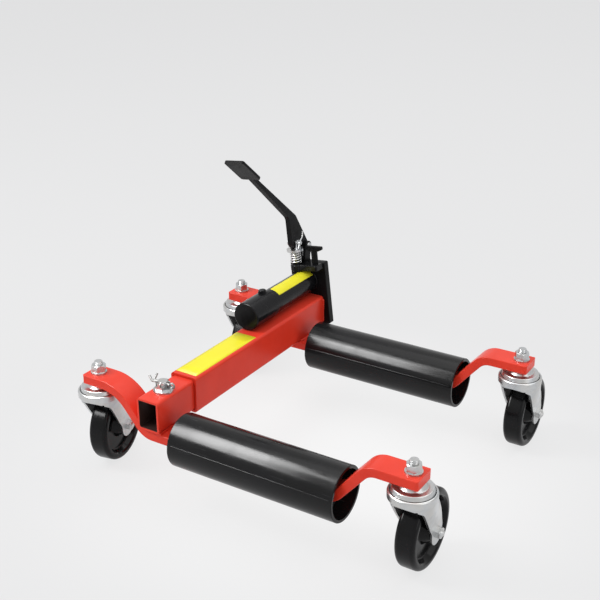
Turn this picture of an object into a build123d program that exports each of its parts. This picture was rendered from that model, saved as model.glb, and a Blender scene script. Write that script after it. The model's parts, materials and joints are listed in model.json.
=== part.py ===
from build123d import *
import os
from math import atan2, cos, degrees, hypot, pi, radians, sin, sqrt, tan

# Casters, millimetres
wheel_diameter = 100.0
wheel_width = 26.0
tread_round = 5.5
tyre_band = 10.0
web_width = 9.0
hub_diameter = 30.0
hub_width = 32.0
sleeve_diameter = 12.0
axle_diameter = 8.0
axle_flats = 13.0
caster_trail = 32.0
head_height = 28.5
head_gap = 14.7
crown_radius = 29.0
crown_rise = 4.5
crown_lip = 1.4
crown_step = 0.25
dish_edge = 5.0
dish_rim = 2.6
cup_radius = 25.4
cup_slope = 4.0
cup_ease = 1.5
fork_sheet = 2.6
leg_gap = 0.6
leg_tip = 15.0
leg_fore = 15.0
leg_aft = 12.0
leg_flat = 14.7
leg_lap = 5.2
leg_reach = 11.5
leg_knee = 6.3
leg_bends = (20.0, 13.0, 12.0, 14.0)
skirt_drop = 12.5
ball_size = 6.4
ball_circle = 19.2
king_diameter = 10.0
king_flats = 17.0
king_head = 5.0
king_washer = 2.2
king_nut_high = 9.6
king_end = 16.5
yaw_front_left = 11.0
yaw_front_right = 0.0
yaw_rear_left = 5.0
yaw_rear_right = 0.0

# Arms: flat bar cranked down between the casters
bar_width = 35.0
bar_thick = 12.0
bar_round = 1.2
bar_end_round = 3.0
bar_drop = 52.0
bar_left = -108.9
bar_right = 370.5
bend_angle = 50.0
left_flat = 55.3
right_flat = 62.4
bend_radius = 24.0
left_sweep = 54.0
swivel_inset = 13.4
arm_spacing = 326.4

# Tubes
outer_wide = 40.0
outer_high = 50.0
tube_wall = 3.0
tube_round = 4.0
tube_fit = 0.5
outer_front = 53.9
tube_tail = 50.9
inner_front = -20.5
inner_length = 250.5
notch_margin = 3.5

# Rollers
roller_diameter = 70.0
roller_wall = 4.0
roller_start = 39.2
roller_gap = 0.7
bush_length = 13.0
bush_fit = 0.1
bush_inset = 2.0

# Hitch bolt through the sliding tube
hitch_y = 12.5
hitch_diameter = 12.0
hitch_flats = 18.0
hitch_head = 9.0
hitch_nut = 10.5
hitch_washer_diameter = 26.0
hitch_washer_thick = 2.5
split_wire = 2.6

# Pump unit, leaning to the left about the tube's centre line
cant_angle = 7.0
plate_thick = 11.5
plate_wide = 61.0
plate_low = -22.0
plate_top = 76.5
plate_round = 2.0
plate_ease = 0.8
reservoir_x = -3.6
reservoir_radius = 18.5
reservoir_wall = 2.5
cap_radius = 20.5
reservoir_length = 165.8
cap_length = 56.5
cap_overlap = 30.0
collar_length = 4.0
filler_back = 46.5
filler_bore = 3.6
filler_boss = 6.5
filler_rise = 1.4
filler_head = (5.5, 3.2)
screw_diameter = 5.0
screw_places = (-6.0, 6.0)
screw_flats = 8.0
screw_head = 4.0
screw_deep = 8.0
block_left = -16.0
block_right = 28.0
block_deep = 19.3
block_low = 68.4
block_round = 3.0
block_ease = 1.0
nose_radius = 9.0
gland_radius = 6.3
gland_rise = 8.0
gland_drop = 2.9
gland_floor = 1.2
plunger_x = -9.4
plunger_ahead = 15.2
plunger_diameter = 10.0
plunger_stroke = 7.7
spring_wire = 1.7
spring_radius = 7.6
spring_turns = 4.5
spring_seat = 97.5
seat_thick = 3.5
seat_radius = 12.5
clevis_slot = 9.2
clevis_tine = 3.0
clevis_half = 4.8
clevis_pin_z = 110.3
clevis_pin_diameter = 6.0
clevis_pin_head = (5.0, 2.4)
clevis_pin_tail = 4.6
pivot_behind = 9.3
pedal_pivot_z = 98.0
pedal_swing = 17.0
pivot_diameter = 8.0
pivot_head = (5.6, 2.2)
lever_thick = 8.0
lever_boss = 8.5
lever_root = 5.6
lever_front = 11.2
lever_heel = (7.6, 4.0)
lever_lift = 1.8
elbow_rise = 53.2
elbow_ahead = 18.5
ear_thick = 4.6
ear_gap = 0.6
ear_radius = 8.0
bracket_base = 4.0
bracket_ahead = 14.0
pad_wide = 32.0
pad_long = 49.0
pad_thick = 4.5
pad_ahead = 143.2
pad_low_z = 262.0
pad_slope = 41.4
release_x = 18.4
release_ahead = 6.0
release_deep = 6.0
release_radius = 4.0
release_hub = 4.8
release_high = 6.0
release_span = 14.2
release_top = 103.6
release_thick = 5.0

# Pull ram inside the tubes
barrel_diameter = 24.0
ram_bore = 18.0
barrel_length = 172.0
gland_flange = 5.0
gland_spigot = 16.0
rod_diameter = 10.0
piston_length = 16.0
piston_ahead = 47.3
seal_groove = 2.4
seal_wide = 4.0
eye_diameter = 22.0
eye_height = 24.0

# Fits, as clearance on one side
thread_fit = 0.02
seat_fit = 0.05
ram_fit = 0.06
run_fit = 0.08
bolt_fit = 0.1
hitch_fit = 0.2
loose_fit = 0.3
slot_fit = 0.4
cut_past = 1.0

# Heights that follow from the sizes above
wheel_radius = wheel_diameter / 2
seat_z = wheel_diameter + head_height
seat_top = seat_z + bar_thick
flat_low = seat_z - bar_drop
flat_top = flat_low + bar_thick
flat_mid = flat_low + bar_thick / 2
tube_mid = flat_top + outer_high / 2
outer_rear = arm_spacing + tube_tail
outer_length = outer_rear - outer_front
inner_wide = outer_wide - 2 * tube_wall - 2 * tube_fit
inner_high = outer_high - 2 * tube_wall - 2 * tube_fit
inner_low = tube_mid - inner_high / 2
inner_top = tube_mid + inner_high / 2
left_bend = bar_left + left_flat
right_bend = bar_right - right_flat
swivel_left = bar_left + swivel_inset
swivel_right = bar_right - swivel_inset
wheel_reach = hypot(caster_trail + wheel_radius, wheel_width / 2)
roller_end = swivel_right - wheel_reach - roller_gap
plate_rear = outer_rear + plate_thick
lean = radians(cant_angle)
reservoir_z = (outer_high / 2 + cap_radius + loose_fit - reservoir_x * sin(lean)) / cos(lean)
filler_seat = reservoir_z + cap_radius + filler_rise
screw_z = (block_low + plate_top) / 2
cap_front = outer_rear - reservoir_length
filler_y = cap_front + filler_back
plunger_y = outer_rear - plunger_ahead
pedal_pivot_y = outer_rear + pivot_behind
pad_low_y = outer_rear - pad_ahead
release_y = outer_rear - release_ahead
piston_y = outer_rear - piston_ahead
chamber_low = block_low - gland_drop + gland_floor
cant = Pos(0, 0, tube_mid) * Rot(0, -cant_angle, 0)
pump = cant * Pos(plunger_x, 0, 0)


def turned(points, rounds, axis):
    """Revolve a closed outline of (along, radius) points round the given axis."""
    place = {"x": lambda a, r: (a, 0, r), "y": lambda a, r: (0, a, r), "z": lambda a, r: (r, 0, a)}[axis]
    outline = FilletPolyline(*[place(a, r) for a, r in points], radius=rounds, close=True)
    return revolve(make_face(outline), {"x": Axis.X, "y": Axis.Y, "z": Axis.Z}[axis])


def rod(radius, start, end):
    """Round bar between two points."""
    line = Vector(end) - Vector(start)
    return extrude(Plane(start, z_dir=line) * Circle(radius), amount=line.length)


def group(parts):
    """Like pieces that share one node."""
    return Compound([solid for part in parts for solid in part.solids()])


def washer(outer, bore, thick):
    return extrude(Circle(outer) - Circle(bore), amount=thick)


def hexagon(flats, height):
    """Six-sided head standing on z = 0 with its top corners turned off."""
    corner = flats / sqrt(3)
    ease = corner - flats / 2
    body = extrude(RegularPolygon(flats / 2, 6, major_radius=False), amount=height)
    envelope = turned([(0, 0), (0, corner), (height - ease, corner), (height, flats / 2), (height, 0)],
                      0, "z")
    return body & envelope


def nut(flats, bore, height):
    return hexagon(flats, height) - Cylinder(bore, 3 * height)


def wire_along(points, radius, bend):
    path = FilletPolyline(*points, radius=bend)
    return sweep(Plane(path @ 0, z_dir=path % 0) * Circle(radius), path=path)


def arm_bar(width, y):
    """Flat bar swept along the cranked centre line."""
    run = bar_drop / tan(radians(bend_angle))
    high = seat_z + bar_thick / 2
    path = FilletPolyline(
        (bar_left, y, high), (left_bend, y, high), (left_bend + run, y, flat_mid),
        (right_bend - run, y, flat_mid), (right_bend, y, high), (bar_right, y, high),
        radius=[left_sweep, bend_radius, bend_radius, bend_radius])
    across = Plane(path @ 0, x_dir=(0, 1, 0), z_dir=(1, 0, 0))
    return sweep(across * RectangleRounded(width, bar_thick, bar_round), path=path)


def arm(y):
    plan = RectangleRounded(bar_right - bar_left, bar_width, bar_end_round)
    outline = Pos((bar_left + bar_right) / 2, y) * plan
    bar = arm_bar(bar_width, y) & extrude(outline, amount=2 * seat_z)
    for x in (swivel_left, swivel_right):
        bar -= Pos(x, y, seat_z + bar_thick / 2) * Cylinder(king_diameter / 2 + loose_fit, 2 * bar_thick)
    return bar


def box_tube(wide, high, outside, front, length):
    inside = outside - tube_wall / 2
    ring = RectangleRounded(wide, high, outside)
    ring -= RectangleRounded(wide - 2 * tube_wall, high - 2 * tube_wall, inside)
    return extrude(Plane((0, front, tube_mid), x_dir=(1, 0, 0), z_dir=(0, 1, 0)) * ring, amount=length)


def roller(y):
    ease = roller_wall / 4
    outer = roller_diameter / 2
    bore = outer - roller_wall
    profile = [(roller_start, bore), (roller_start, outer), (roller_end, outer), (roller_end, bore)]
    return Pos(0, y, flat_mid) * turned(profile, [0, ease, ease, 0], "x")


def roller_bushes(y):
    """Two discs keyed on the flat of the bar."""
    radius = roller_diameter / 2 - roller_wall - bush_fit
    slope_run = bar_drop / tan(radians(bend_angle))
    bend_start = right_bend - slope_run - bend_radius * tan(radians(bend_angle / 2))
    far = min(bend_start, roller_end) - bush_length - bush_inset
    slot = Rectangle(bar_width + 2 * bush_fit, bar_thick + 2 * bush_fit)
    discs = []
    for x in (roller_start + bush_inset, far):
        across = Plane((x, y, flat_mid), x_dir=(0, 1, 0), z_dir=(1, 0, 0))
        discs.append(extrude(across * (Circle(radius) - slot), amount=bush_length))
    return group(discs)


standing = (Align.CENTER, Align.CENTER, Align.MIN)

# Caster parts stand round the swivel axis at x = y = 0
crown_top = seat_z - head_gap
crown_rim = crown_top + crown_rise
crown_low = crown_top - fork_sheet - crown_lip
ball_z = crown_top + loose_fit + ball_size / 2
cup_under = ball_z + ball_size / 2 + loose_fit
king_bore = king_diameter / 2 + loose_fit


def race_cup():
    sheet = fork_sheet
    neck = cup_radius / 2
    skew = sheet - 0.2
    outline = [(seat_z, king_bore), (seat_z, neck), (cup_under + sheet, neck + cup_slope),
               (cup_under + sheet, cup_radius - cup_ease), (cup_under - sheet, cup_radius),
               (cup_under - sheet, cup_radius - sheet), (cup_under, cup_radius - sheet - cup_ease / 2),
               (cup_under, neck + cup_slope - skew), (seat_z - sheet, neck - skew),
               (seat_z - sheet, king_bore)]
    ease = cup_ease * 0.7
    return turned(outline, [0, cup_ease, cup_ease, ease, 0, 0, ease / 2, ease, ease, 0], "z")


def ball_row():
    """The balls in their cage, taken as one ring."""
    half = ball_size / 2
    side = half * tan(pi / 8)
    ring = [(-half, -side), (-half, side), (-side, half), (side, half),
            (half, side), (half, -side), (side, -half), (-side, -half)]
    return turned([(ball_z + a, ball_circle + r) for a, r in ring], 0, "z")


def fork():
    """Pressed fork: dished crown with two legs raked back to the axle."""
    sheet = fork_sheet
    rim = crown_radius
    crown = turned([(crown_top - sheet, king_bore), (crown_top, king_bore), (crown_top, rim - dish_edge),
                    (crown_rim, rim - dish_rim), (crown_rim, rim), (crown_low, rim), (crown_low, rim - sheet),
                    (crown_top - sheet, rim - sheet)],
                   [0, 0, 1.5, 1, 2.2, 0, 0, crown_lip * 0.6], "z")
    half = hub_width / 2 + leg_gap + sheet
    foot = wheel_radius - leg_tip - 1
    flat_from = wheel_radius + leg_flat
    loft_top = crown_low + sheet

    def skin(inset):
        top = Plane.XY.offset(loft_top) * Circle(rim - crown_step - inset)
        plan = RectangleRounded(2 * (half - inset), 2 * (rim + leg_lap - inset), half * 0.7 - inset)
        bottom = Plane.XY.offset(flat_from) * Pos(0, caster_trail * 0.75) * plan
        shoulder = loft([top.face(), bottom.face()])
        return shoulder + extrude(bottom, amount=foot - flat_from)

    tip_rear = caster_trail + leg_aft
    tip_front = caster_trail - leg_fore
    knee = wheel_radius + leg_knee
    heel, toe, shin, brow = leg_bends
    side = FilletPolyline(
        (0, rim + 0.5, loft_top), (0, tip_rear, knee), (0, tip_rear, wheel_radius - leg_tip),
        (0, tip_front, wheel_radius - leg_tip), (0, tip_front, knee - leg_knee / 2),
        (0, -leg_reach, crown_low - skirt_drop), (0, -rim - 0.5, crown_low), (0, -rim - 0.5, loft_top),
        radius=[0, heel, toe, toe, shin, brow, 0, 0], close=True)
    legs = (skin(0) - skin(sheet)) & extrude(make_face(side), amount=2 * rim, dir=(1, 0, 0), both=True)
    slot_top = (wheel_diameter + crown_low) / 2
    slot = Pos(0, 0, slot_top / 2) * Box(hub_width + leg_gap, 8 * rim, slot_top)
    bore = Cylinder(axle_diameter / 2 + bolt_fit, 4 * rim)
    hole = Pos(0, caster_trail, wheel_radius) * Rot(0, 90, 0) * bore
    return crown + (legs - slot) - hole


def axle():
    """Bolt with its head on one leg and a domed nut on the other."""
    half = hub_width / 2 + leg_gap + fork_sheet
    head = axle_flats * 0.42
    shank = rod(axle_diameter / 2, (-half, 0, 0), (half + head, 0, 0))
    bolt = shank + Pos(-half, 0, 0) * Rot(0, -90, 0) * hexagon(axle_flats, head)
    cap = Pos(half, 0, 0) * Rot(0, 90, 0) * nut(axle_flats, axle_diameter / 2 + thread_fit, head)
    dome = Cone(axle_flats * 0.4, axle_flats * 0.2, 2.2, align=standing)
    dome = Pos(half + head, 0, 0) * Rot(0, 90, 0) * dome
    place = Pos(0, caster_trail, wheel_radius)
    return group([place * (bolt + dome), place * cap])


def axle_sleeve():
    half = hub_width / 2 + leg_gap - seat_fit
    ring = Circle(sleeve_diameter / 2) - Circle(axle_diameter / 2 + seat_fit)
    tube = extrude(Plane((-half, 0, 0), z_dir=(1, 0, 0)) * ring, amount=2 * half)
    return Pos(0, caster_trail, wheel_radius) * tube


def wheel():
    tyre = wheel_width / 2
    web = web_width / 2
    hub = hub_width / 2
    bore = sleeve_diameter / 2 + run_fit
    rim = wheel_radius - tyre_band
    bevel = hub_diameter / 2 + 4
    right = [(hub, bore), (hub, hub_diameter / 2 - 3), (tyre - 2, hub_diameter / 2), (web, bevel),
             (web, rim - 3), (tyre - 2, rim), (tyre, rim + 2), (tyre, wheel_radius)]
    left = [(-a, r) for a, r in reversed(right)]
    rounds = [0, 1.5, 1.5, 2, 2, 1.5, 1, tread_round]
    return Pos(0, caster_trail, wheel_radius) * turned(right + left, rounds + rounds[::-1], "x")


def king_bolt():
    """Bolt up through the fork and the arm, its head inside the crown."""
    under = crown_top - fork_sheet - loose_fit
    shank = rod(king_diameter / 2, (0, 0, under), (0, 0, seat_top + king_end))
    return shank + Pos(0, 0, under - king_head) * Cylinder(king_flats / 2, king_head, align=standing)


def king_nut():
    ring = Pos(0, 0, seat_top) * washer(king_flats * 0.62, king_diameter / 2 + bolt_fit, king_washer)
    top = nut(king_flats, king_diameter / 2 + thread_fit, king_nut_high)
    top = Pos(0, 0, seat_top + king_washer) * top
    return [ring, top]


# Pump parts in the leaning frame: y along the tube, z up the plate
def clear(part, radius, start, end):
    return part - rod(radius, start, end)


def end_plate():
    mid = (plate_low + plate_top) / 2
    face = RectangleRounded(plate_wide, plate_top - plate_low, plate_round)
    across = Plane((0, outer_rear, mid), x_dir=(1, 0, 0), z_dir=(0, 1, 0))
    plate = extrude(across * face, amount=plate_thick)
    for side in (0, -1):
        plate = chamfer(plate.faces().sort_by(Axis.Y)[side].edges(), plate_ease)
    bore = screw_diameter / 2 + bolt_fit
    start, end = outer_rear - cut_past, plate_rear + cut_past
    for x in screw_places:
        plate = clear(plate, bore, (x, start, screw_z), (x, end, screw_z))
    return plate


def block_screws():
    heads = []
    for x in screw_places:
        shank = rod(screw_diameter / 2, (x, outer_rear - screw_deep, screw_z), (x, plate_rear, screw_z))
        head = Pos(x, plate_rear, screw_z) * Rot(-90, 0, 0) * hexagon(screw_flats, screw_head)
        heads.append(shank + head)
    return group(heads)


def pump_block():
    """Flat block on the plate, with a round nose and a gland for the plunger."""
    wide = block_right - block_left
    middle = (block_right + block_left) / 2
    plan = Pos(middle, outer_rear) * RectangleRounded(wide, 2 * block_deep, block_round)
    plan &= Pos(middle, outer_rear - block_deep) * Rectangle(2 * wide, 2 * block_deep)
    plan += Pos(plunger_x, plunger_y) * Circle(nose_radius)
    body = extrude(Plane.XY.offset(block_low) * plan, amount=plate_top - block_low)
    body = chamfer(body.faces().sort_by(Axis.Z)[-1].edges(), block_ease)
    low = (plunger_x, plunger_y, block_low - gland_drop)
    high = (plunger_x, plunger_y, plate_top + gland_rise)
    body += rod(gland_radius, low, high)
    floor = (plunger_x, plunger_y, chamber_low)
    body = clear(body, plunger_diameter / 2 + run_fit, floor, high)
    spindle_foot = (release_x, release_y, plate_top - release_deep)
    body = clear(body, release_radius + run_fit, spindle_foot, (release_x, release_y, plate_top + cut_past))
    tapped = screw_diameter / 2 + thread_fit
    start, end = outer_rear - screw_deep - cut_past, outer_rear + cut_past
    for x in screw_places:
        body = clear(body, tapped, (x, start, screw_z), (x, end, screw_z))
    return body


def reservoir_tube():
    bore = reservoir_radius - reservoir_wall
    front = cap_front + cap_length - cap_overlap
    step = outer_rear - collar_length
    profile = [(front, bore), (front, reservoir_radius), (step, reservoir_radius), (step, cap_radius),
               (outer_rear, cap_radius), (outer_rear, bore)]
    tube = Pos(reservoir_x, 0, reservoir_z) * turned(profile, [0, 0, 0, 1, 0, 0], "y")
    inside = (reservoir_x, filler_y, reservoir_z)
    return clear(tube, filler_bore, inside, (reservoir_x, filler_y, filler_seat))


def reservoir_cap():
    rear = cap_front + cap_length
    bore = reservoir_radius + seat_fit
    profile = [(cap_front, 0), (cap_front, cap_radius), (rear, cap_radius), (rear, bore),
               (rear - cap_overlap - 1, bore), (rear - cap_overlap - 1, 0)]
    cap = Pos(reservoir_x, 0, reservoir_z) * turned(profile, [0, 2.5, 1, 0, 0, 0], "y")
    boss_foot = (reservoir_x, filler_y, reservoir_z + reservoir_radius + 0.5)
    cap += rod(filler_boss, boss_foot, (reservoir_x, filler_y, filler_seat))
    inside = (reservoir_x, filler_y, reservoir_z)
    return clear(cap, filler_bore, inside, (reservoir_x, filler_y, filler_seat + cut_past))


def filler_screw():
    radius, high = filler_head
    shank = rod(filler_bore - bolt_fit, (0, 0, -5), (0, 0, 0))
    head = turned([(0, 0), (0, radius), (high, radius), (high, 0)], [0, 0, 1.2, 0], "z")
    slot = Pos(0, 0, high) * Box(3 * radius, 1.4, 2)
    return Pos(reservoir_x, filler_y, filler_seat) * (shank + head - slot)


pivot_to_pin = (plunger_y - pedal_pivot_y, clevis_pin_z - pedal_pivot_z)


def lever_slot_end():
    """Where the clevis pin lies in the lever when the pedal is fully down."""
    y, z = pivot_to_pin[0], pivot_to_pin[1] - plunger_stroke
    turn = radians(pedal_swing)
    return y * cos(turn) + z * sin(turn), z * cos(turn) - y * sin(turn)


def side_plate(face, x_low, thick):
    """Extrude an outline drawn with (y, z) points across the leaning frame."""
    return extrude(Plane((x_low, 0, 0), x_dir=(0, 1, 0), z_dir=(1, 0, 0)) * face, amount=thick)


pad_dir = (cos(radians(pad_slope)), -sin(radians(pad_slope)))
pad_up = (sin(radians(pad_slope)), cos(radians(pad_slope)))
arm_root = (pad_low_y + pad_long * pad_dir[0], pad_low_z + pad_long * pad_dir[1])


def pedal_lever():
    root_top = (arm_root[0] + lever_root * pad_up[0], arm_root[1] + lever_root * pad_up[1])
    front = plunger_y - lever_front
    elbow_z = pedal_pivot_z + elbow_rise
    under = spring_seat + seat_thick + lever_lift
    heel = (pedal_pivot_y + lever_heel[0], pedal_pivot_z + lever_heel[1])
    outline = FilletPolyline(
        arm_root, root_top, (pedal_pivot_y - elbow_ahead, elbow_z), heel,
        (pedal_pivot_y, pedal_pivot_z - lever_boss + 0.5), (plunger_y + 12, under),
        (plunger_y - 6, under), (front, under + 7), (front, elbow_z),
        radius=[0, 0, 14, 0, 0, 3, 3, 4, 12], close=True)
    body = make_face(outline) + Pos(pedal_pivot_y, pedal_pivot_z) * Circle(lever_boss)
    start = Vector(plunger_y, clevis_pin_z)
    end = Vector(*lever_slot_end()) + Vector(pedal_pivot_y, pedal_pivot_z)
    width = clevis_pin_diameter + 2 * slot_fit
    span = end - start
    slot = Rot(0, 0, degrees(atan2(span.Y, span.X))) * SlotCenterToCenter(span.length, width)
    body -= Pos((start + end) / 2) * slot
    body -= Pos(pedal_pivot_y, pedal_pivot_z) * Circle(pivot_diameter / 2 + run_fit)
    return side_plate(body, -lever_thick / 2, lever_thick)


def pedal_pad():
    middle = Vector(pad_low_y, pad_low_z) + Vector(*pad_dir) * (pad_long / 2)
    place = Plane((0, middle.X, middle.Y), x_dir=(1, 0, 0), z_dir=(0, pad_up[0], pad_up[1]))
    plate = extrude(RectangleRounded(pad_wide, pad_long, 3), amount=pad_thick)
    plate = chamfer(plate.faces().sort_by(Axis.Z)[-1].edges(), 0.8)
    return place * plate


def pedal_bracket():
    inner = lever_thick / 2 + ear_gap
    foot_front = pedal_pivot_y - bracket_ahead
    foot_rear = plate_rear - plate_ease
    base = Pos(0, (foot_front + foot_rear) / 2, plate_top + bracket_base / 2) * Box(
        2 * (inner + ear_thick), foot_rear - foot_front, bracket_base)
    base_top = plate_top + bracket_base
    half = ear_radius * 0.95
    shoulder = pedal_pivot_z + ear_radius * 0.3
    outline = Polyline(
        (foot_front, plate_top), (foot_front, base_top), (pedal_pivot_y - half, shoulder),
        (pedal_pivot_y + half, shoulder), (foot_rear, base_top), (foot_rear, plate_top), close=True)
    ear = make_face(outline) + Pos(pedal_pivot_y, pedal_pivot_z) * Circle(ear_radius)
    ear -= Pos(pedal_pivot_y, pedal_pivot_z) * Circle(pivot_diameter / 2 + seat_fit)
    return base + side_plate(ear, inner, ear_thick) + side_plate(ear, -inner - ear_thick, ear_thick)


def pivot_pin():
    half = lever_thick / 2 + ear_gap + ear_thick
    radius = pivot_diameter / 2
    head, high = pivot_head
    end = half + high
    outline = [(-end, 0), (-end, head), (-half, head), (-half, radius),
               (half, radius), (half, head), (end, head), (end, 0)]
    return Pos(0, pedal_pivot_y, pedal_pivot_z) * turned(outline, [0, 1.2, 0, 0, 0, 0, 1.2, 0], "x")


def plunger():
    """Piston, spring seat and clevis in one piece."""
    slot_low = spring_seat + seat_thick
    low = chamber_low + plunger_stroke + loose_fit
    body = rod(plunger_diameter / 2, (0, plunger_y, low), (0, plunger_y, spring_seat))
    body += rod(seat_radius, (0, plunger_y, spring_seat), (0, plunger_y, slot_low))
    outer = clevis_slot / 2 + clevis_tine
    tine = Rectangle(2 * clevis_half, clevis_pin_z - slot_low)
    tine = Pos(plunger_y, (slot_low + clevis_pin_z) / 2) * tine
    tine += Pos(plunger_y, clevis_pin_z) * Circle(clevis_half)
    tine -= Pos(plunger_y, clevis_pin_z) * Circle(clevis_pin_diameter / 2 + seat_fit)
    body += side_plate(tine, clevis_slot / 2, clevis_tine)
    body += side_plate(tine, -outer, clevis_tine)
    return body


def clevis_pin():
    """Headed pin with its split pin beside the right tine."""
    half = clevis_slot / 2 + clevis_tine
    radius = clevis_pin_diameter / 2
    head, high = clevis_pin_head
    end = half + clevis_pin_tail
    pin = turned([(-half - high, 0), (-half - high, head), (-half, head), (-half, radius),
                  (end, radius), (end, 0)], [0, 1, 0, 0, 0.8, 0], "x")
    cross = half + clevis_pin_tail / 2
    split = wire_along([(cross, -5, -7), (cross, 2, 3), (cross, 8.5, 8), (cross, 10.5, 15)], 1.1, 5)
    return Pos(0, plunger_y, clevis_pin_z) * (pin + split)


def release_handle():
    """Flat cross bar on the release spindle."""
    hub_low = plate_top + loose_fit
    spindle = rod(release_radius, (0, 0, plate_top - release_deep + loose_fit), (0, 0, hub_low))
    hub = rod(release_hub, (0, 0, hub_low), (0, 0, release_top - release_high / 2))
    neck = release_top - release_high - release_hub / 2
    cross = FilletPolyline(
        (release_span, 0, release_top), (release_span, 0, release_top - release_high * 0.8),
        (release_hub, 0, neck), (-release_hub, 0, neck),
        (-release_span, 0, release_top - release_high * 0.8), (-release_span, 0, release_top),
        radius=[1.5, 1.5, 2, 2, 1.5, 1.5], close=True)
    blade = extrude(make_face(cross), amount=release_thick / 2, dir=(0, 1, 0), both=True)
    return Pos(release_x, release_y, 0) * (spindle + hub + blade)


def biarc(start, start_dir, end, end_dir):
    """Two arcs that meet smoothly between two points with set directions."""
    chord = end - start
    total = start_dir + end_dir
    square = 2 * (1 - start_dir.dot(end_dir))
    along = chord.dot(total)
    reach = (-along + sqrt(along * along + square * chord.dot(chord))) / square
    joint = (start + end + (start_dir - end_dir) * reach) / 2
    first = TangentArc(start, joint, tangent=start_dir)
    return [first, TangentArc(joint, end, tangent=first % 1)]


spring_low = plate_top + spring_wire / 2 + 0.2
spring_high = spring_seat - spring_wire / 2 - 0.2
spring_steps = int(4 * spring_turns)
spring_pitch = (spring_high - spring_low) / spring_turns


def helix_point(turn):
    angle = 2 * pi * turn
    x, y = spring_radius * cos(angle), spring_radius * sin(angle)
    return Vector(x, plunger_y + y, spring_low + spring_pitch * turn)


def helix_dir(turn):
    angle = 2 * pi * turn
    x, y = -spring_radius * sin(angle), spring_radius * cos(angle)
    return Vector(x, y, spring_pitch / (2 * pi)).normalized()


def plunger_spring():
    arcs = []
    for step in range(spring_steps):
        a, b = step / 4, (step + 1) / 4
        arcs += biarc(helix_point(a), helix_dir(a), helix_point(b), helix_dir(b))
    path = Wire(arcs)
    points = [path @ (i / 720) for i in range(721)]
    per_turn = int(720 / spring_turns)
    gaps = [(points[i] - points[j]).length - spring_wire
            for i in range(0, 721, 4) for j in range(i + per_turn // 2, 721, 4)]
    print("spring: least gap between turns", round(min(gaps), 2), "mm")
    return sweep(Plane(path @ 0, z_dir=path % 0) * Circle(spring_wire / 2), path=path)


# Ram parts on the tube's centre line
def ram_barrel():
    front = outer_rear - barrel_length
    ring = Circle(barrel_diameter / 2) - Circle(ram_bore / 2)
    return extrude(Plane((0, front, tube_mid), z_dir=(0, 1, 0)) * ring, amount=barrel_length)


def ram_gland():
    front = outer_rear - barrel_length
    bore = rod_diameter / 2 + ram_fit
    spigot = ram_bore / 2 - 0.03
    rim = barrel_diameter / 2
    profile = [(front - gland_flange, bore), (front - gland_flange, rim), (front, rim),
               (front, spigot), (front + gland_spigot, spigot), (front + gland_spigot, bore)]
    return Pos(0, 0, tube_mid) * turned(profile, [0, 1, 0, 0, 0, 0], "y")


def ram_rod():
    eye = Pos(0, hitch_y, tube_mid) * Cylinder(eye_diameter / 2, eye_height)
    bar = rod(rod_diameter / 2, (0, hitch_y, tube_mid), (0, piston_y + piston_length / 2 + 3, tube_mid))
    return eye + bar - Pos(0, hitch_y, tube_mid) * Cylinder(hitch_diameter / 2 + hitch_fit, 2 * eye_height)


def ram_piston():
    radius = ram_bore / 2 - ram_fit
    bore = rod_diameter / 2 + thread_fit
    low, high = piston_y - piston_length / 2, piston_y + piston_length / 2
    before, after = piston_y - seal_wide / 2, piston_y + seal_wide / 2
    groove = radius - seal_groove
    profile = [(low, bore), (low, radius), (before, radius), (before, groove),
               (after, groove), (after, radius), (high, radius), (high, bore)]
    return Pos(0, 0, tube_mid) * turned(profile, 0, "y")


def piston_seal():
    radius = ram_bore / 2 - ram_fit
    half = seal_wide / 2 - seat_fit
    inner = radius - seal_groove + seat_fit
    low, high = piston_y - half, piston_y + half
    profile = [(low, inner), (low, radius), (high, radius), (high, inner)]
    return Pos(0, 0, tube_mid) * turned(profile, 0, "y")


# Hitch parts
washer_top = inner_top + hitch_washer_thick
nut_top = washer_top + hitch_nut
split_z = nut_top - split_wire


def hitch_bolt():
    low = flat_low - hitch_head
    shank = rod(hitch_diameter / 2, (0, hitch_y, flat_low), (0, hitch_y, nut_top + 1.5))
    bolt = shank + Pos(0, hitch_y, flat_low) * Rot(180, 0, 0) * hexagon(hitch_flats, hitch_head)
    return bolt - rod(split_wire, (-hitch_flats, hitch_y, split_z), (hitch_flats, hitch_y, split_z))


def hitch_castle_nut():
    body = nut(hitch_flats, hitch_diameter / 2 + thread_fit, hitch_nut)
    slot = Box(2 * hitch_flats, 2 * (split_wire + hitch_fit), 4 * split_wire)
    for turn in (0, 60, 120):
        body -= Pos(0, 0, hitch_nut) * Rot(0, 0, turn) * slot
    return Pos(0, hitch_y, washer_top) * body


def hitch_split_pin():
    half = hitch_flats / 2 + 2
    body = rod(split_wire * 0.9, (-half, hitch_y, split_z), (half, hitch_y, split_z))
    body += Pos(half + 3.4, hitch_y, split_z) * Rot(90, 0, 0) * Torus(3.2, split_wire / 2)
    thin = split_wire * 0.55
    body += wire_along([(-half + 1, hitch_y + 0.6, split_z), (-half - 4, hitch_y + 1.2, split_z + 0.4),
                        (-half - 6, hitch_y + 10, split_z + 5)], thin, 3)
    body += wire_along([(-half + 1, hitch_y - 0.6, split_z), (-half - 6, hitch_y - 1, split_z - 0.6),
                        (-half - 12, hitch_y + 2, split_z + 4)], thin, 3)
    return body


# Assembly
front_y = 0.0
rear_y = arm_spacing
caster_at = {
    "front_left": (swivel_left, front_y, yaw_front_left),
    "front_right": (swivel_right, front_y, yaw_front_right),
    "rear_left": (swivel_left, rear_y, yaw_rear_left),
    "rear_right": (swivel_right, rear_y, yaw_rear_right),
}
pieces = {}
hitch_hole = Pos(0, hitch_y, tube_mid) * Cylinder(hitch_diameter / 2 + hitch_fit, 3 * outer_high)
notch_wide = bar_width + 2 * notch_margin

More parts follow.
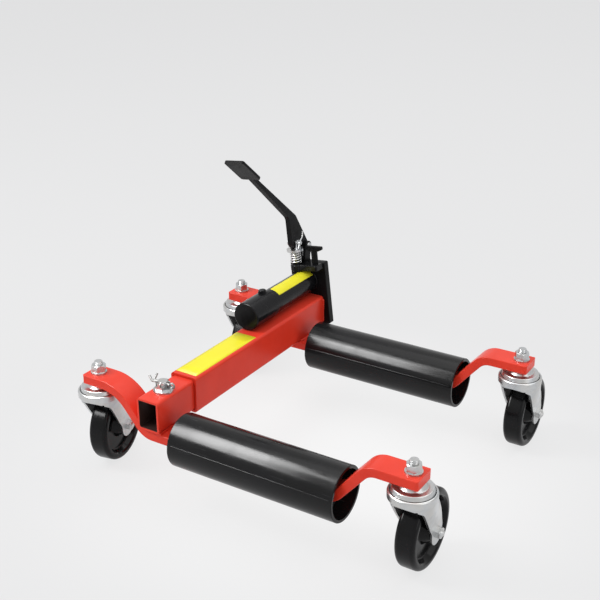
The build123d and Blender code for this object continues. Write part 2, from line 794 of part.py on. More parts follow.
pieces["rear_arm"] = arm(rear_y)
fixed_tube = box_tube(outer_wide, outer_high, tube_round, outer_front, outer_length)
pieces["outer_tube"] = fixed_tube - arm_bar(notch_wide, rear_y)
pieces["front_arm"] = arm(front_y) - hitch_hole
sliding_tube = box_tube(inner_wide, inner_high, tube_round - tube_fit, inner_front, inner_length)
pieces["inner_tube"] = sliding_tube - arm_bar(notch_wide, front_y) - hitch_hole
spacer_high = inner_low - flat_top
spacer = Pos(0, front_y, flat_top + spacer_high / 2) * Box(inner_wide, bar_width, spacer_high)
pieces["arm_spacer"] = spacer - arm_bar(notch_wide, front_y) - hitch_hole

pieces["hitch_bolt"] = hitch_bolt()
pieces["hitch_washer"] = Pos(0, hitch_y, inner_top) * washer(
    hitch_washer_diameter / 2, hitch_diameter / 2 + hitch_fit, hitch_washer_thick)
pieces["hitch_nut"] = hitch_castle_nut()
pieces["hitch_split_pin"] = hitch_split_pin()

for end, y in (("front", front_y), ("rear", rear_y)):
    pieces[end + "_roller"] = roller(y)
    pieces[end + "_roller_bushes"] = roller_bushes(y)
    posts = [Pos(swivel_left, y, 0), Pos(swivel_right, y, 0)]
    pieces[end + "_king_bolts"] = group([post * king_bolt() for post in posts])
    pieces[end + "_king_nuts"] = group([post * piece for post in posts for piece in king_nut()])
    pieces[end + "_ball_rows"] = group([post * ball_row() for post in posts])

for corner, (x, y, yaw) in caster_at.items():
    place = Pos(x, y, 0) * Rot(0, 0, yaw)
    pieces[corner + "_cup"] = place * race_cup()
    pieces[corner + "_fork"] = place * fork()
    pieces[corner + "_axle"] = place * axle()
    pieces[corner + "_sleeve"] = place * axle_sleeve()
    pieces[corner + "_wheel"] = place * wheel()

for name, make in (
        ("end_plate", end_plate), ("pump_block", pump_block), ("block_screws", block_screws),
        ("reservoir_tube", reservoir_tube), ("reservoir_cap", reservoir_cap),
        ("filler_screw", filler_screw), ("release_handle", release_handle)):
    pieces[name] = cant * make()

for name, make in (
        ("pedal_bracket", pedal_bracket), ("pivot_pin", pivot_pin), ("pedal_lever", pedal_lever),
        ("pedal_pad", pedal_pad), ("plunger", plunger), ("plunger_spring", plunger_spring),
        ("clevis_pin", clevis_pin)):
    pieces[name] = pump * make()

for name, make in (
        ("ram_barrel", ram_barrel), ("ram_gland", ram_gland), ("ram_rod", ram_rod),
        ("ram_piston", ram_piston), ("piston_seal", piston_seal)):
    pieces[name] = make()

# The frame's origin is on the floor under the middle of the outline box
box = group(pieces.values()).bounding_box()
shift = Pos(-box.center().X, -box.center().Y, -box.min.Z)
print("outline box", round(box.size.X, 1), round(box.size.Y, 1), round(box.size.Z, 1), "mm")

os.makedirs("parts", exist_ok=True)
for name, piece in pieces.items():
    export_step(shift * piece, os.path.join("parts", name + ".step"))
print(len(pieces), "nodes written")
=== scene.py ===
import bmesh
import bpy
import json
import numpy as np
from mathutils import Matrix, Vector


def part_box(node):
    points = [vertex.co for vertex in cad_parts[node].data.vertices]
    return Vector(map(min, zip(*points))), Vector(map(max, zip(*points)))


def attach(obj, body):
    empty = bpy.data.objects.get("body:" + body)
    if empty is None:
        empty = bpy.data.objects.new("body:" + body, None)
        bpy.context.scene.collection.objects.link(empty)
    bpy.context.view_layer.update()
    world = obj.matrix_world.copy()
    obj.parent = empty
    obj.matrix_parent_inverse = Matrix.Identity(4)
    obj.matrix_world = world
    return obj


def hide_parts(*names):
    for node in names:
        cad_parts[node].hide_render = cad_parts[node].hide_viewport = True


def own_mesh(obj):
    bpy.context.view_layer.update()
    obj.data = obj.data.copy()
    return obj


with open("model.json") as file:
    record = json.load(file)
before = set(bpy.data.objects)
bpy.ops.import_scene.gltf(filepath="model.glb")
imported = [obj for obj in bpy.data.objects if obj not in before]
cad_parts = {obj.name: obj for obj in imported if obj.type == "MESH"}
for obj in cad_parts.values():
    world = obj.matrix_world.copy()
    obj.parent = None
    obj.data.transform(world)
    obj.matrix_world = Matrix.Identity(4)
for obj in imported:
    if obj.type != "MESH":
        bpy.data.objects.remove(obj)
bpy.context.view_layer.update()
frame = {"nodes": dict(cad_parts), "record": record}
nodes = frame["nodes"]
record = frame["record"]
joints = {joint["name"]: joint for joint in record["behaviour"]["joints"]}
print("frame loaded:", len(nodes), "nodes")


# a socket takes another socket or a plain value, and a plain colour is opaque
def feed(tree, value, socket):
    if isinstance(value, bpy.types.NodeSocket):
        tree.links.new(value, socket)
    elif socket.type == "RGBA":
        socket.default_value = (*value, 1.0)
    else:
        socket.default_value = value


# a node with its inputs and settings given by name
def addNode(tree, kind, **values):
    node = tree.nodes.new(kind)
    for key, value in values.items():
        if key in node.inputs:
            feed(tree, value, node.inputs[key])
        else:
            setattr(node, key, value)
    return node


# one step of arithmetic, on numbers or on vectors
def maths(tree, operation, *sides):
    node = addNode(tree, "ShaderNodeMath", operation=operation)
    for value, socket in zip(sides, node.inputs):
        feed(tree, value, socket)
    return node.outputs["Value"]


def vectorMaths(tree, operation, *sides, result="Vector"):
    node = addNode(tree, "ShaderNodeVectorMath", operation=operation)
    for value, socket in zip(sides, node.inputs):
        feed(tree, value, socket)
    return node.outputs[result]


# a value between two limits, carried over to run between two levels
def spread(tree, value, limits=(0.0, 1.0), levels=(0.0, 1.0), ease="LINEAR"):
    node = addNode(tree, "ShaderNodeMapRange", interpolation_type=ease)
    for label, number in zip(("From Min", "From Max", "To Min", "To Max"), (*limits, *levels)):
        node.inputs[label].default_value = number
    feed(tree, value, node.inputs["Value"])
    return node.outputs["Result"]


def noise(tree, where, size, grain):
    return addNode(tree, "ShaderNodeTexNoise", Vector=where, Scale=size, **grain).outputs["Fac"]


# a Mix node's socket numbers: factor, first side, second side, result
mixSockets = {"RGBA": (0, 6, 7, 2), "FLOAT": (0, 2, 3, 0)}


def mixOf(tree, kind, *values):
    mix = addNode(tree, "ShaderNodeMix", data_type=kind)
    *sides, result = mixSockets[kind]
    for value, side in zip(values, sides):
        feed(tree, value, mix.inputs[side])
    return mix.outputs[result]


def mixColour(tree, factor, first, second):
    return mixOf(tree, "RGBA", factor, first, second)


# a shared effect: inputs by name with their usual values, outputs as numbers that change over the surface
def newGroup(name, inputs, outputs):
    tree = bpy.data.node_groups.new(name, "ShaderNodeTree")
    for label, value in inputs.items():
        kind = "NodeSocketVector" if isinstance(value, tuple) else "NodeSocketFloat"
        socket = tree.interface.new_socket(name=label, in_out="INPUT", socket_type=kind)
        socket.default_value = value
    for label in outputs:
        tree.interface.new_socket(name=label, in_out="OUTPUT", socket_type="NodeSocketFloat")
    return tree, tree.nodes.new("NodeGroupInput").outputs, tree.nodes.new("NodeGroupOutput").inputs


def placeGroup(tree, group, where, **values):
    node = addNode(tree, "ShaderNodeGroup", node_tree=group)
    feed(tree, where, node.inputs["Vector"])
    for key, value in values.items():
        node.inputs[key].default_value = value
    return node.outputs


origin = (0.0, 0.0, 0.0)
skinGrain = dict(
    ripple=dict(Detail=1.0, Roughness=0.4),
    mottle=dict(Detail=4.0, Roughness=0.55),
    mottleLimits=(0.3, 0.7),
)


# paint skin: a fine ripple like orange peel, and a broad mottle for the colour
def makePaintSkin():
    usual = dict(Vector=origin, Ripple=600.0, Mottle=14.0)
    tree, start, end = newGroup("paintSkin", usual, ("Height", "Mottle"))
    ripple = noise(tree, start["Vector"], start["Ripple"], skinGrain["ripple"])
    mottle = noise(tree, start["Vector"], start["Mottle"], skinGrain["mottle"])
    feed(tree, ripple, end["Height"])
    feed(tree, spread(tree, mottle, skinGrain["mottleLimits"]), end["Mottle"])
    return tree


markGrain = dict(
    smudge=dict(Detail=5.0, Roughness=0.6, Distortion=0.6),
    smudgeLimits=(0.42, 0.68),
    scratch=dict(Detail=3.0, Roughness=0.7),
    scratchLimits=(0.66, 0.74),
)


# handling marks: soft smudges, and hairline scratches as a noise stretched along one direction
def makeHandling():
    usual = dict(Vector=origin, Smudge=30.0, Scratch=90.0, Stretch=(1.0, 14.0, 14.0))
    tree, start, end = newGroup("handlingMarks", usual, ("Smudge", "Scratch"))
    smudge = noise(tree, start["Vector"], start["Smudge"], markGrain["smudge"])
    drawn = vectorMaths(tree, "MULTIPLY", start["Vector"], start["Stretch"])
    hair = noise(tree, drawn, start["Scratch"], markGrain["scratch"])
    feed(tree, spread(tree, smudge, markGrain["smudgeLimits"], ease="SMOOTHSTEP"), end["Smudge"])
    feed(tree, spread(tree, hair, markGrain["scratchLimits"], ease="SMOOTHSTEP"), end["Scratch"])
    return tree


dustGrain = dict(noise=dict(Detail=6.0, Roughness=0.7), upLimits=(0.2, 1.0))


# dust: settles on faces that look up, broken by a noise
def makeDust():
    usual = dict(Vector=origin, Size=120.0, Amount=0.2)
    tree, start, end = newGroup("dustFilm", usual, ("Dust",))
    facing = tree.nodes.new("ShaderNodeNewGeometry").outputs["Normal"]
    upward = addNode(tree, "ShaderNodeSeparateXYZ", Vector=facing).outputs["Z"]
    grain = noise(tree, start["Vector"], start["Size"], dustGrain["noise"])
    broken = maths(tree, "MULTIPLY", spread(tree, upward, dustGrain["upLimits"]), grain)
    feed(tree, maths(tree, "MULTIPLY", broken, start["Amount"]), end["Dust"])
    return tree


paintSkin = makePaintSkin()
handlingMarks = makeHandling()
dustFilm = makeDust()


# the three effects with a finish's own values
def skinOn(tree, place, look):
    return placeGroup(tree, paintSkin, place, Ripple=look["ripple"], Mottle=look["mottle"])


def marksOn(tree, place, look):
    sizes = dict(Smudge=look["smudge"], Scratch=look["scratch"], Stretch=look["stretch"])
    return placeGroup(tree, handlingMarks, place, **sizes)


def dustOn(tree, place, look):
    return placeGroup(tree, dustFilm, place, Amount=look["dust"])["Dust"]


def startMaterial(name):
    material = bpy.data.materials.new(name)
    material.use_nodes = True
    tree = material.node_tree
    tree.nodes.clear()
    output = tree.nodes.new("ShaderNodeOutputMaterial")
    shader = tree.nodes.new("ShaderNodeBsdfPrincipled")
    feed(tree, shader.outputs["BSDF"], output.inputs["Surface"])
    place = tree.nodes.new("ShaderNodeTexCoord").outputs["Object"]
    return material, tree, shader, place


# normal from a height, laid over another normal where one is given
def bumpFrom(tree, height, strength, depth, under=None):
    bump = addNode(tree, "ShaderNodeBump", Strength=strength, Distance=depth, Height=height)
    if under is not None:
        feed(tree, under, bump.inputs["Normal"])
    return bump.outputs["Normal"]


# painted shade inside a tube along y: the mask holds where, sideways and upright, the distance from its
# middle is under the half opening
def hollowShadeMask(tree, place, hollowShade):
    away = vectorMaths(tree, "ABSOLUTE", vectorMaths(tree, "SUBTRACT", place, hollowShade["middle"]))
    split = addNode(tree, "ShaderNodeSeparateXYZ", Vector=away).outputs
    halfWide, halfHigh = hollowShade["half"]
    withinWide = maths(tree, "LESS_THAN", split["X"], halfWide)
    withinHigh = maths(tree, "LESS_THAN", split["Z"], halfHigh)
    return maths(tree, "MULTIPLY", withinWide, withinHigh)


# lines left by drawing a tube: a noise stretched along it
def drawnLines(tree, place, drawn):
    along = vectorMaths(tree, "MULTIPLY", place, drawn["stretch"])
    lines = noise(tree, along, drawn["size"], drawn["grain"])
    return bumpFrom(tree, lines, drawn["strength"], drawn["depth"])


# enamel on bar, tube and pump: colour mottle, smudged gloss and orange peel; painted shade darkens a hollow
# inside a tube
def enamel(name, look, hollowShade=None):
    material, tree, shader, place = startMaterial(name)
    skin = skinOn(tree, place, look)
    marks = marksOn(tree, place, look)
    paint = mixColour(tree, skin["Mottle"], look["deep"], look["colour"])
    scratches = spread(tree, marks["Scratch"], levels=(0.0, look["scratchMix"]))
    worn = mixColour(tree, scratches, paint, look["scratchColour"])
    coat = mixColour(tree, dustOn(tree, place, look), worn, look["dustColour"])
    if hollowShade:
        # painted shade: inside the hollow a dark red-brown takes the place of the red paint
        coat = mixColour(tree, hollowShadeMask(tree, place, hollowShade), coat, hollowShade["colour"])
    under = drawnLines(tree, place, look["drawn"]) if "drawn" in look else None
    peel = bumpFrom(tree, skin["Height"], look["peel"], look["peelDepth"], under)
    feed(tree, coat, shader.inputs["Base Color"])
    feed(tree, spread(tree, marks["Smudge"], levels=look["rough"]), shader.inputs["Roughness"])
    feed(tree, peel, shader.inputs["Normal"])
    shader.inputs["Specular IOR Level"].default_value = look["specular"]
    return material


redLook = dict(
    colour=(0.79, 0.046, 0.022), deep=(0.70, 0.036, 0.016), rough=(0.28, 0.42), specular=0.20,
    ripple=520.0, mottle=16.0, peel=0.05, peelDepth=0.0004,
    smudge=26.0, scratch=70.0, stretch=(1.0, 14.0, 14.0),
    scratchMix=0.10, scratchColour=(0.86, 0.20, 0.14), dust=0.03, dustColour=(0.80, 0.52, 0.46),
)
tubeLook = dict(redLook, stretch=(14.0, 1.0, 14.0))  # marks run along the tubes
pumpLook = dict(
    colour=(0.008, 0.008, 0.009), deep=(0.005, 0.005, 0.006), rough=(0.14, 0.30), specular=0.16,
    ripple=640.0, mottle=22.0, peel=0.04, peelDepth=0.0004,
    smudge=34.0, scratch=80.0, stretch=(14.0, 1.0, 14.0),
    scratchMix=0.08, scratchColour=(0.08, 0.08, 0.09), dust=0.02, dustColour=(0.22, 0.22, 0.22),
)
pedalLook = dict(
    colour=(0.008, 0.008, 0.009), deep=(0.006, 0.006, 0.006), rough=(0.34, 0.50), specular=0.08,
    ripple=760.0, mottle=30.0, peel=0.08, peelDepth=0.0004,
    smudge=40.0, scratch=90.0, stretch=(1.0, 14.0, 14.0),
    scratchMix=0.14, scratchColour=(0.13, 0.13, 0.14), dust=0.03, dustColour=(0.12, 0.12, 0.12),
)
rollerLook = dict(
    colour=(0.007, 0.007, 0.008), deep=(0.005, 0.005, 0.005), rough=(0.17, 0.25), specular=0.22,
    ripple=420.0, mottle=12.0, peel=0.03, peelDepth=0.0004,
    smudge=20.0, scratch=42.0, stretch=(0.6, 9.0, 9.0),
    scratchMix=0.22, scratchColour=(0.16, 0.16, 0.17), dust=0.03, dustColour=(0.22, 0.22, 0.22),
    drawn=dict(
        stretch=(0.03, 1.0, 1.0), size=260.0, strength=0.10, depth=0.0004,
        grain=dict(Detail=2.0, Roughness=0.5),
    ),
)
bushLook = dict(pumpLook, colour=(0.045, 0.045, 0.046), deep=(0.030, 0.030, 0.031), rough=(0.45, 0.60))
sealLook = dict(pumpLook, colour=(0.014, 0.014, 0.014), deep=(0.009, 0.009, 0.009), rough=(0.55, 0.70))

slideLow, slideHigh = (np.array(corner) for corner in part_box("inner_tube"))
slideWall = 0.0026  # a little less than the tube's wall, so that the mask takes in the inner faces
slideHalf = (slideHigh - slideLow) / 2 - slideWall
# painted shade for the inside of the sliding tube: the hollow's middle, its half opening, and the dark colour
# painted there
slideHollowShade = dict(
    middle=tuple((slideLow + slideHigh) / 2),
    half=(slideHalf[0], slideHalf[2]),
    colour=(0.040, 0.020, 0.017),
)

redPaint = enamel("redEnamel", redLook)
tubePaint = enamel("tubeEnamel", tubeLook)
slidePaintHollowShade = enamel("slideEnamelHollowShade", tubeLook, slideHollowShade)
pumpPaint = enamel("pumpEnamel", pumpLook)
pedalPaint = enamel("pedalEnamel", pedalLook)
rollerPaint = enamel("rollerEnamel", rollerLook)
bushNylon = enamel("bushNylon", bushLook)
sealRubber = enamel("sealRubber", sealLook)

wheelLook = dict(
    colour=(0.006, 0.006, 0.007), deep=(0.004, 0.004, 0.004), rough=(0.12, 0.26), specular=0.16,
    ripple=300.0, mottle=40.0, peel=0.03, peelDepth=0.0005,
    smudge=46.0, scratch=120.0, stretch=(1.0, 14.0, 14.0), dust=0.02, dustColour=(0.16, 0.155, 0.15),
    treadRadius=0.0462, treadEdge=0.004, treadRough=0.19,
)


# moulded wheel: smudged gloss on the faces, and an even gloss on the tread past a set radius from the axle
def mouldedWheel(name, node):
    look = wheelLook
    low, high = (Vector(corner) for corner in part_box(node))
    axle = (low + high) / 2
    material, tree, shader, place = startMaterial(name)
    skin = skinOn(tree, place, look)
    marks = marksOn(tree, place, look)
    reach = vectorMaths(tree, "DISTANCE", place, axle, result="Value")
    treadLimits = (look["treadRadius"], look["treadRadius"] + look["treadEdge"])
    tread = spread(tree, reach, treadLimits, ease="SMOOTHSTEP")
    body = mixColour(tree, skin["Mottle"], look["deep"], look["colour"])
    coat = mixColour(tree, dustOn(tree, place, look), body, look["dustColour"])
    gloss = spread(tree, marks["Smudge"], levels=look["rough"])
    feed(tree, coat, shader.inputs["Base Color"])
    feed(tree, mixOf(tree, "FLOAT", tread, gloss, look["treadRough"]), shader.inputs["Roughness"])
    feed(tree, bumpFrom(tree, skin["Height"], look["peel"], look["peelDepth"]), shader.inputs["Normal"])
    shader.inputs["Specular IOR Level"].default_value = look["specular"]
    return material


# plated or ground steel: metallic, with a faint tint that drifts and fine scratches in the gloss
def platedSteel(name, look):
    material, tree, shader, place = startMaterial(name)
    skin = skinOn(tree, place, look)
    marks = marksOn(tree, place, look)
    tint = mixColour(tree, skin["Mottle"], look["warm"], look["cool"])
    smudges = spread(tree, marks["Smudge"], levels=(0.0, look["dullMix"]))
    gloss = spread(tree, marks["Smudge"], levels=look["rough"])
    scratches = spread(tree, marks["Scratch"], levels=(0.0, look["scratchRough"]))
    feed(tree, mixColour(tree, smudges, tint, look["dull"]), shader.inputs["Base Color"])
    feed(tree, maths(tree, "ADD", gloss, scratches), shader.inputs["Roughness"])
    feed(tree, bumpFrom(tree, skin["Height"], look["peel"], look["peelDepth"]), shader.inputs["Normal"])
    shader.inputs["Metallic"].default_value = 1.0
    return material


zincLook = dict(
    warm=(0.575, 0.565, 0.545), cool=(0.535, 0.555, 0.575), dull=(0.36, 0.37, 0.37), dullMix=0.20,
    rough=(0.28, 0.36), scratchRough=0.12, ripple=480.0, mottle=60.0, peel=0.06, peelDepth=0.0003,
    smudge=70.0, scratch=160.0, stretch=(6.0, 6.0, 1.0),
)
steelLook = dict(
    warm=(0.60, 0.59, 0.57), cool=(0.56, 0.57, 0.59), dull=(0.36, 0.36, 0.36), dullMix=0.4,
    rough=(0.20, 0.34), scratchRough=0.12, ripple=900.0, mottle=40.0, peel=0.04, peelDepth=0.0003,
    smudge=50.0, scratch=220.0, stretch=(8.0, 1.0, 8.0),
)
wireLook = dict(
    zincLook, warm=(0.80, 0.79, 0.77), cool=(0.76, 0.78, 0.80), dullMix=0.15, rough=(0.20, 0.30),
)
pinLook = dict(
    steelLook, warm=(0.25, 0.24, 0.23), cool=(0.21, 0.22, 0.22), dull=(0.14, 0.14, 0.14),
    rough=(0.52, 0.64),
)
zincPlate = platedSteel("zincPlate", zincLook)
groundSteel = platedSteel("groundSteel", steelLook)
springWire = platedSteel("springWire", wireLook)
splitPin = platedSteel("splitPin", pinLook)


# label vinyl: plain bright yellow film, slightly uneven, with a soft satin gloss
def labelVinyl(name, look):
    material, tree, shader, place = startMaterial(name)
    skin = skinOn(tree, place, look)
    marks = marksOn(tree, place, look)
    film = mixColour(tree, skin["Mottle"], look["deep"], look["colour"])
    scuffs = spread(tree, marks["Scratch"], levels=(0.0, look["scuffMix"]))
    feed(tree, mixColour(tree, scuffs, film, look["scuff"]), shader.inputs["Base Color"])
    feed(tree, spread(tree, marks["Smudge"], levels=look["rough"]), shader.inputs["Roughness"])
    feed(tree, bumpFrom(tree, skin["Height"], look["peel"], look["peelDepth"]), shader.inputs["Normal"])
    shader.inputs["Specular IOR Level"].default_value = look["specular"]
    return material


vinylLook = dict(
    colour=(0.84, 0.77, 0.034), deep=(0.80, 0.72, 0.026), scuff=(0.72, 0.60, 0.10), scuffMix=0.2,
    rough=(0.30, 0.46), specular=0.2, ripple=260.0, mottle=24.0, peel=0.05, peelDepth=0.0002,
    smudge=40.0, scratch=60.0, stretch=(1.0, 14.0, 14.0),
)
yellowVinyl = labelVinyl("yellowVinyl", vinylLook)
print("materials made")

bySlot = {
    "red_paint": redPaint, "black_paint": pumpPaint, "roller_paint": rollerPaint, "zinc_plate": zincPlate,
    "bare_steel": groundSteel, "bush_nylon": bushNylon, "seal_rubber": sealRubber,
}
pedalParts = ("pedal_lever", "pedal_pad", "pedal_bracket", "release_handle", "end_plate")
byNode = {"inner_tube": slidePaintHollowShade, "outer_tube": tubePaint, "hitch_split_pin": splitPin}
byNode.update((name, pedalPaint) for name in pedalParts)
slotOf = {sub["node"]: sub["material_slot"] for sub in record["subparts"]}
for name, piece in nodes.items():
    if name.endswith("_wheel"):
        finish = mouldedWheel(name + "Moulding", name)
    elif name in byNode:
        finish = byNode[name]
    else:
        finish = bySlot[slotOf[name]]
    piece.data.materials.clear()
    piece.data.materials.append(finish)
print("CAD nodes dressed")

poleGap = 1e-7  # metres, points nearer than this are one point


# meshes from arrays: points as rows, faces as rows of four; a row drawn in to one place becomes a pole
def meshPiece(name, points, quads, material, body, smooth=True):
    mesh = bpy.data.meshes.new(name)
    mesh.from_pydata(points.reshape(-1, 3).tolist(), [], quads.tolist())
    welded = bmesh.new()
    welded.from_mesh(mesh)
    bmesh.ops.remove_doubles(welded, verts=welded.verts, dist=poleGap)
    welded.to_mesh(mesh)
    welded.free()
    mesh.polygons.foreach_set("use_smooth", np.full(len(mesh.polygons), smooth))
    mesh.materials.append(material)
    mesh.update()
    piece = bpy.data.objects.new(name, mesh)
    bpy.context.scene.collection.objects.link(piece)
    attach(piece, body)
    return piece


# quads of a grid with rows down and columns across; wrap closes the columns into a ring
def gridQuads(rows, columns, wrap):
    across = columns if wrap else columns - 1
    i, j = np.meshgrid(np.arange(rows - 1), np.arange(across), indexing="ij")
    k = (j + 1) % columns
    here, below = i * columns, (i + 1) * columns
    return np.stack([here + j, here + k, below + k, below + j], -1).reshape(-1, 4)


# label outline: a rounded rectangle walked once round, drawn in to its middle on rings below and again above
def labelGrid(wide, label):
    corner = label["corner"]
    halfWide, halfLong = wide / 2 - corner, label["long"] / 2 - corner
    centres = np.array([[1, 1], [-1, 1], [-1, -1], [1, -1]]) * [halfWide, halfLong]
    turn = np.linspace(0, np.pi / 2, label["perCorner"])
    angles = turn[None, :] + np.arange(4)[:, None] * np.pi / 2
    edge = centres[:, None, :] + corner * np.stack([np.cos(angles), np.sin(angles)], -1)
    edge = edge.reshape(-1, 2)
    # points along each straight run, so that a bent label stays smooth
    steps = np.linspace(0, 1, label["perRun"], endpoint=False)
    ahead = np.roll(edge, -1, axis=0)
    edge = (edge[:, None, :] + (ahead - edge)[:, None, :] * steps[None, :, None]).reshape(-1, 2)
    share = np.linspace(0.0, 1.0, label["rings"])
    share = np.concatenate([share, share[::-1]])
    return share[:, None, None] * edge[None, :, :]


# a label's lower rings lie on the surface, and its upper rings are lifted by the film
def labelPiece(name, flat, lift, wrapOn):
    rows, columns = flat.shape[:2]
    height = np.full((rows, columns), lift)
    height[:rows // 2] = 0.0
    points = wrapOn(flat[..., 0], flat[..., 1], height)
    piece = meshPiece(name, points, gridQuads(rows, columns, True), yellowVinyl, "frame")


tubeLabel = dict(
    wide=0.033, long=0.1395, corner=0.0015, lift=0.00018, aside=-0.0005, fromFront=0.0066,
    rings=4, perCorner=6, perRun=8,
)
tubeLow, tubeHigh = (np.array(corner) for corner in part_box("outer_tube"))
tubeMid = (tubeLow[0] + tubeHigh[0]) / 2
labelX = tubeMid + tubeLabel["aside"]
labelY = tubeLow[1] + tubeLabel["fromFront"] + tubeLabel["long"] / 2


# the flat label laid on the tube's top
def onTube(u, v, h):
    return np.stack([labelX + u, labelY + v, tubeHigh[2] + h], -1)


labelPiece("tubeLabel", labelGrid(tubeLabel["wide"], tubeLabel), tubeLabel["lift"], onTube)

tankLabel = dict(
    long=0.095, corner=0.0015, lift=0.00018, fromAngle=43.0, toAngle=99.0, fromCap=0.0099, radius=0.0185,
    rings=8, perCorner=6, perRun=8,
)
tankLow, tankHigh = (np.array(corner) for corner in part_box("reservoir_tube"))
capHigh = np.array(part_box("reservoir_cap")[1])
tankMid = (tankLow + tankHigh) / 2
tankStart = capHigh[1] + tankLabel["fromCap"] + tankLabel["long"] / 2
span = np.radians(tankLabel["toAngle"] - tankLabel["fromAngle"])
midAngle = np.radians((tankLabel["toAngle"] + tankLabel["fromAngle"]) / 2)


# the flat label bent round the reservoir: across becomes an angle, along stays along y
def roundTank(u, v, h):
    angle = midAngle - u / tankLabel["radius"]
    reach = tankLabel["radius"] + h
    x, z = tankMid[0] + reach * np.cos(angle), tankMid[2] + reach * np.sin(angle)
    return np.stack([x, tankStart + v, z], -1)


labelPiece("tankLabel", labelGrid(tankLabel["radius"] * span, tankLabel), tankLabel["lift"], roundTank)
print("labels laid")


# a round section carried along a path: frames come from the path's direction and one fixed side vector
def tubeAlong(path, radius, side, around):
    ahead = np.gradient(path, axis=0)
    ahead /= np.linalg.norm(ahead, axis=1, keepdims=True)
    right = np.cross(ahead, side)
    right /= np.linalg.norm(right, axis=1, keepdims=True)
    up = np.cross(ahead, right)
    turn = np.linspace(0, 2 * np.pi, around, endpoint=False)
    ring = np.cos(turn)[None, :, None] * right[:, None, :] + np.sin(turn)[None, :, None] * up[:, None, :]
    return path[:, None, :] + np.broadcast_to(radius, (len(path),))[:, None, None] * ring


# thickness that grows from nothing as a quarter circle while the share goes from 0 to 1
def roundedEnd(share):
    return np.sqrt(1 - (1 - np.clip(share, 0, 1)) ** 2)


beadLook = dict(
    radius=0.0023, ripple=0.16, pitch=0.0031, perRipple=7, around=14,
    wander=((0.05, 310.0, 0.0), (0.04, 173.0, 1.3)),  # slow waves in the thickness: size, rate, phase
)


# weld bead: overlapping scallops, each a bulge that rises fast and falls slowly along the run
def weldBead(name, start, end, side, body):
    start, end = np.array(start, float), np.array(end, float)
    length = np.linalg.norm(end - start)
    count = int(length / beadLook["pitch"] * beadLook["perRipple"])
    t = np.linspace(0, 1, count)
    saw = (t * length / beadLook["pitch"]) % 1.0
    swell = 1 + beadLook["ripple"] * (1 - saw) ** 2 - beadLook["ripple"] / 3
    wander = 1 + sum(size * np.sin(t * length * rate + phase) for size, rate, phase in beadLook["wander"])
    ends = roundedEnd(np.minimum(t, 1 - t) * length / beadLook["radius"])
    radius = beadLook["radius"] * swell * wander * ends
    path = start + (end - start) * t[:, None]
    points = tubeAlong(path, radius, np.array(side, float), beadLook["around"])
    piece = meshPiece(name, points, gridQuads(count, beadLook["around"], True), redPaint, body)


armLow, armHigh = (np.array(corner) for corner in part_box("rear_arm"))
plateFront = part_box("end_plate")[0][1]
weldRuns = dict(
    plateInset=0.0008, plateLow=0.008, plateHigh=0.004, armStart=0.002, armEnd=0.003, sideEnds=0.002,
)
alongY, alongZ = (0, 1, 0), (0, 0, 1)
weldLow, weldHigh = tubeLow[2] + weldRuns["plateLow"], tubeHigh[2] - weldRuns["plateHigh"]
weldY = plateFront - weldRuns["plateInset"]
for label, x in (("plateWeldLeft", tubeLow[0]), ("plateWeldRight", tubeHigh[0])):
    weldBead(label, (x, weldY, weldLow), (x, weldY, weldHigh), alongY, "frame")
weldLeft, weldRight = tubeMid - weldRuns["armStart"], tubeHigh[0] - weldRuns["armEnd"]
for label, y in (("armWeldFront", armLow[1]), ("armWeldRear", armHigh[1])):
    weldBead(label, (weldLeft, y, tubeLow[2]), (weldRight, y, tubeLow[2]), alongZ, "frame")
sideFront, sideRear = armLow[1] + weldRuns["sideEnds"], armHigh[1] - weldRuns["sideEnds"]
sideX, sideZ = tubeHigh[0], tubeLow[2]
weldBead("armWeldSide", (sideX, sideFront, sideZ), (sideX, sideRear, sideZ), alongZ, "frame")
print("weld beads laid")

seamLook = dict(
    angle=166.0, half=0.0007, high=0.00035, along=120, around=16, ends=0.004, inset=0.0012,
    waver=0.10, slowRate=95.0, fastRate=231.0, fastPhase=0.7,
)


# weld seam of a roller's tube: a low rounded ridge along the sleeve at one angle, its ends run out to nothing
def rollerSeam(name, node, body):
    low, high = (np.array(corner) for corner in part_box(node))
    middle = (low + high) / 2
    radius = (high[2] - low[2]) / 2
    angle = np.radians(seamLook["angle"])
    outward = np.array([0.0, np.cos(angle), np.sin(angle)])
    beside = np.array([0.0, np.sin(angle), -np.cos(angle)])
    x = np.linspace(low[0] + seamLook["inset"], high[0] - seamLook["inset"], seamLook["along"])
    waves = np.sin(x * seamLook["slowRate"]) * np.sin(x * seamLook["fastRate"] + seamLook["fastPhase"])
    ends = roundedEnd(np.minimum(x - x[0], x[-1] - x) / seamLook["ends"])
    size = ends * (1 + seamLook["waver"] * waves)
    turn = np.linspace(0, 2 * np.pi, seamLook["around"], endpoint=False)
    across, rise = seamLook["half"] * np.cos(turn), seamLook["high"] * np.sin(turn)
    ring = across[:, None] * beside + rise[:, None] * outward
    line = np.stack([x, np.full_like(x, middle[1]), np.full_like(x, middle[2])], -1) + radius * outward
    points = line[:, None, :] + size[:, None, None] * ring[None, :, :]
    piece = meshPiece(name, points, gridQuads(len(x), seamLook["around"], True), rollerPaint, body)


rollerSeam("frontRollerSeam", "front_roller", "front_roller_body")
rollerSeam("rearRollerSeam", "rear_roller", "rear_roller_body")

threadLook = dict(
    pitch=0.0015, depth=0.0004, perPitch=10, around=60, buried=0.0008, ease=0.0007,
    proud=0.00003, over=0.00005,  # clear of the bolt's side and of its end
    kingRadius=0.005, hitchRadius=0.006,
)


